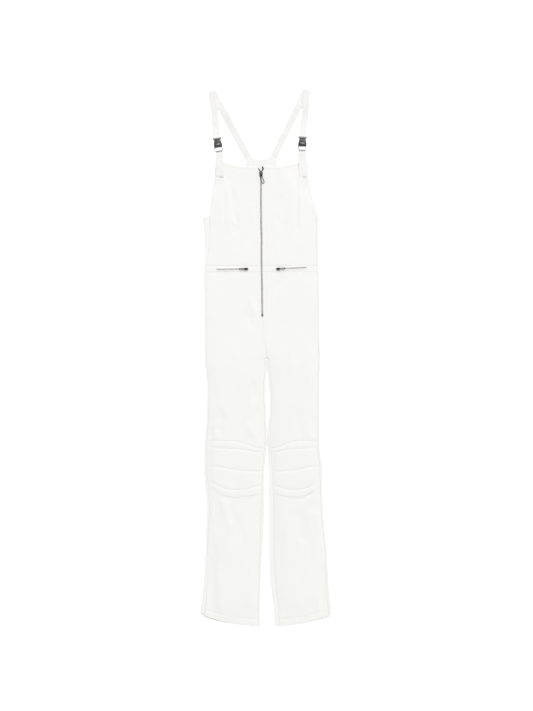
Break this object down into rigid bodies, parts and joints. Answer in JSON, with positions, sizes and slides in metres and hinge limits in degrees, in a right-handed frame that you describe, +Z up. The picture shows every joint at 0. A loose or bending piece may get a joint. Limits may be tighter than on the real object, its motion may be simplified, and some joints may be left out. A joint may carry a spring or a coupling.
{
  "type": "ski overalls",
  "caption": "Sleeveless bib ski overalls laid flat, with a front zip, buckled shoulder straps, zipped waist pockets and quilted knees.",
  "frame": {"origin": "middle of the ground that the garment covers", "axes": "+Y from the hems to the shoulder straps, +X to the right as seen from the front, +Z up out of the front"},
  "size_m": [0.3956, 1.6137, 0.0124],
  "materials": {
    "cloth": "matte softshell",
    "webbing": "matte elastic band",
    "buckle_metal": "satin gunmetal",
    "bare_plate": "satin, with nothing on it",
    "zip_metal": "satin gunmetal"
  },
  "bodies": {
    "garment": {"front_bib_left": "cloth", "waist_band_left": "cloth", "front_thigh_left": "cloth", "knee_panel_left": "cloth", "front_shin_left": "cloth", "back_leg_left": "cloth", "front_bib_right": "cloth", "waist_band_right": "cloth", "front_thigh_right": "cloth", "knee_panel_right": "cloth", "front_shin_right": "cloth", "back_leg_right": "cloth", "back_bodice": "cloth", "strap_left": "webbing", "strap_tab_left": "webbing", "strap_right": "webbing", "strap_tab_right": "webbing", "buckle_tongue_left": "buckle_metal", "buckle_body_left": "buckle_metal", "buckle_bail_left": "buckle_metal", "buckle_tongue_right": "buckle_metal", "buckle_body_right": "buckle_metal", "buckle_bail_right": "buckle_metal", "buckle_plate_left": "bare_plate", "buckle_plate_right": "bare_plate", "front_zip_chain_left": "zip_metal", "front_zip_chain_right": "zip_metal", "front_zip_stop": "zip_metal", "front_zip_slider": "zip_metal", "pocket_zip_chain_left": "zip_metal", "pocket_zip_left_slider": "zip_metal", "pocket_zip_chain_right": "zip_metal", "pocket_zip_right_slider": "zip_metal"},
    "front_pull": {"front_zip_pull": "zip_metal"},
    "pocket_left_pull": {"pocket_zip_left_pull": "zip_metal"},
    "pocket_right_pull": {"pocket_zip_right_pull": "zip_metal"}
  },
  "joints": [
    {"name": "front_pull_hinge", "type": "hinge", "parent": "garment", "child": "front_pull", "pos_m": [-0.0149, 0.546, 0.0092], "axis": [-0.9945, -0.1045, 0], "range_deg": [0, 165]},
    {"name": "pocket_left_pull_hinge", "type": "hinge", "parent": "garment", "child": "pocket_left_pull", "pos_m": [-0.0607, 0.26409, 0.01095], "axis": [-0.0172, 0.9999, 0], "range_deg": [0, 165]},
    {"name": "pocket_right_pull_hinge", "type": "hinge", "parent": "garment", "child": "pocket_right_pull", "pos_m": [0.03769, 0.26434, 0.01095], "axis": [0.051, -0.9987, 0], "range_deg": [0, 165]}
  ]
}
